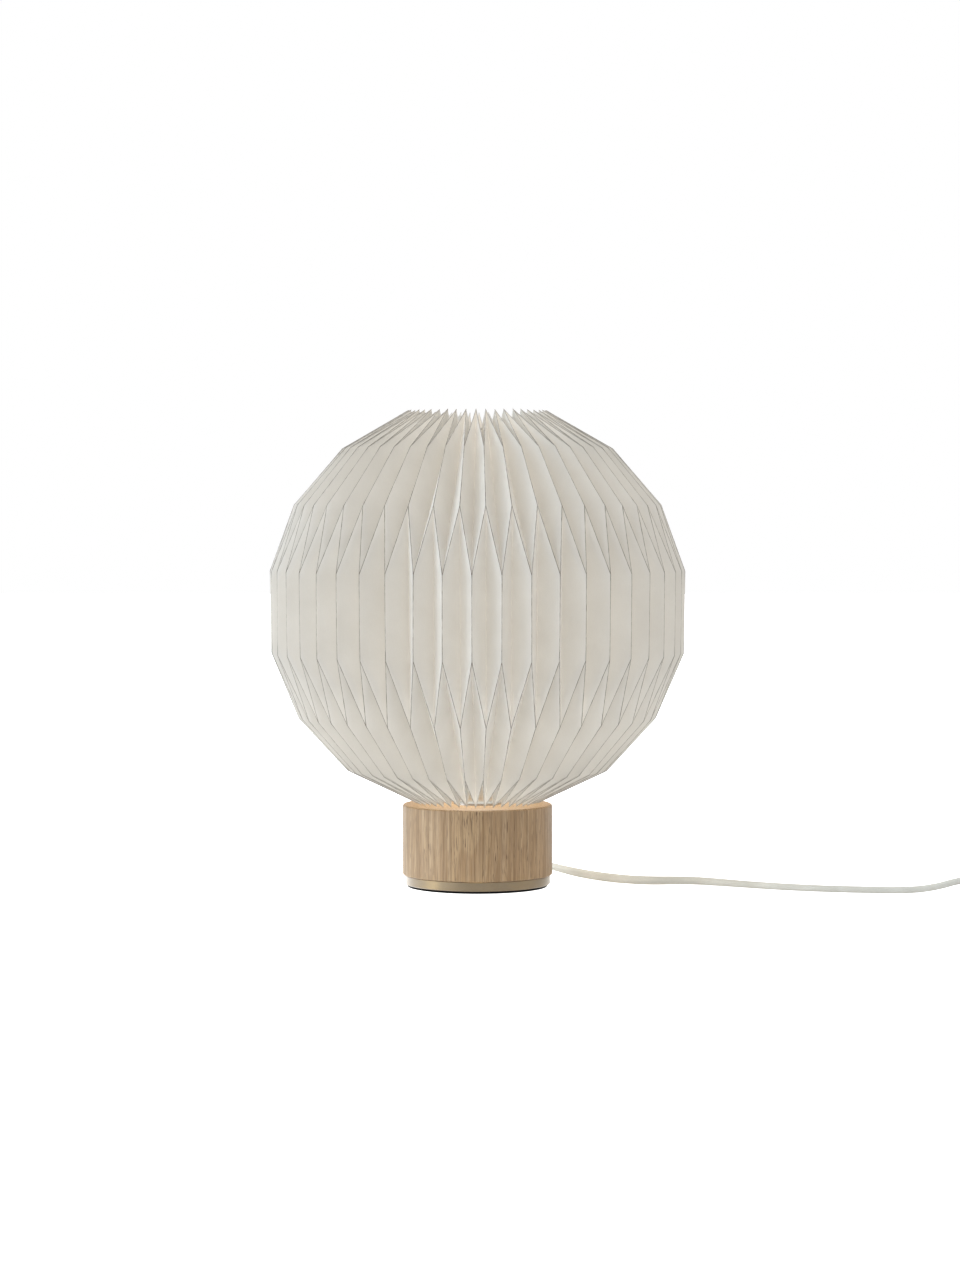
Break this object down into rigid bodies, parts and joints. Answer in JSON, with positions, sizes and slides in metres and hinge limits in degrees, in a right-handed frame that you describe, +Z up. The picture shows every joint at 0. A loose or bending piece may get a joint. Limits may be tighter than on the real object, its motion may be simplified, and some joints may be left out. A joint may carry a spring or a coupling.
{
  "type": "pleated paper table lamp",
  "caption": "Folded paper globe table lamp on a turned oak block with a metal base disc, screw lampholder, globe bulb, flat flex, inline rocker switch and plug.",
  "frame": {"origin": "middle of the foot's underside, on the surface the lamp stands on", "axes": "+Z up through the middle of the shade, -Y to the front, +X to the right, where the flex runs"},
  "size_m": [0.5209, 0.2499, 0.2825],
  "materials": {
    "foot_felt": "matt black foam foot",
    "champagne_metal": "satin champagne-coloured plated steel",
    "zinc_steel": "zinc-plated steel",
    "oak": "pale oak, fine vertical grain, matt oil",
    "relief_plastic": "moulded soft plastic, warm white",
    "clamp_plastic": "moulded plastic",
    "flex_sheath": "flat two-core flex, warm off-white, faint ribs",
    "live_insulation": "brown insulation",
    "neutral_insulation": "blue insulation",
    "holder_plastic": "white thermoplastic",
    "block_ceramic": "off-white ceramic",
    "contact_brass": "plain brass",
    "opal_glass": "opal white",
    "bulb_plastic": "white moulded plastic",
    "cap_nickel": "nickel-plated",
    "solder": "solder",
    "board_white": "white circuit board with yellow chips",
    "paper": "off-white matt paper, folded",
    "thread": "white cotton thread",
    "carrier_wire": "white powder-coated steel wire",
    "tie_band": "black hook-and-loop strip",
    "switch_plastic": "warm white moulded plastic, satin",
    "rocker_plastic": "warm white moulded plastic, satin",
    "pin_nickel": "nickel-plated brass",
    "sleeve_plastic": "black pin sleeves"
  },
  "bodies": {
    "lamp": {"base_plate": "champagne_metal", "base_plate_screws": "zinc_steel", "bottom_gather_thread": "thread", "bulb_collar": "bulb_plastic", "bulb_contact": "solder", "bulb_globe": "opal_glass", "bulb_insulator": "bulb_plastic", "bulb_screw_cap": "cap_nickel", "centre_contact": "contact_brass", "cord_clamp_lower": "clamp_plastic", "cord_clamp_screws": "zinc_steel", "cord_clamp_upper": "clamp_plastic", "cord_coil": "flex_sheath", "cord_strain_relief": "relief_plastic", "cord_tie": "tie_band", "flex_in_base": "flex_sheath", "foot_pad": "foot_felt", "lampholder_cap": "holder_plastic", "lampholder_screw_shell": "contact_brass", "lampholder_skirt": "holder_plastic", "led_board": "board_white", "live_conductor": "live_insulation", "neutral_conductor": "neutral_insulation", "nipple_nut": "zinc_steel", "nipple_washer": "zinc_steel", "oak_base": "oak", "plug_body": "switch_plastic", "plug_pin_sleeves": "sleeve_plastic", "plug_pins": "pin_nickel", "power_cord": "flex_sheath", "power_cord_link": "flex_sheath", "seat_washer": "zinc_steel", "shade_carrier": "carrier_wire", "shade_ring": "holder_plastic", "shade_sheet_1": "paper", "shade_sheet_2": "paper", "shade_sheet_3": "paper", "shade_sheet_4": "paper", "switch_axle": "zinc_steel", "switch_contact_bridge": "contact_brass", "switch_cord_clamps": "clamp_plastic", "switch_flex_ends": "flex_sheath", "switch_housing_lower": "switch_plastic", "switch_housing_upper": "switch_plastic", "switch_live_wires": "live_insulation", "switch_neutral_wire": "neutral_insulation", "switch_screws": "zinc_steel", "switch_terminals": "contact_brass", "terminal_block": "block_ceramic", "terminal_screws": "contact_brass", "threaded_nipple": "zinc_steel", "top_gather_thread": "thread"},
    "rocker": {"switch_rocker": "rocker_plastic"}
  },
  "joints": [
    {"name": "rocker_hinge", "type": "hinge", "parent": "lamp", "child": "rocker", "pos_m": [0.324, -0.045, 0.0128], "axis": [0, 1, 0], "range_deg": [0, 14]}
  ]
}
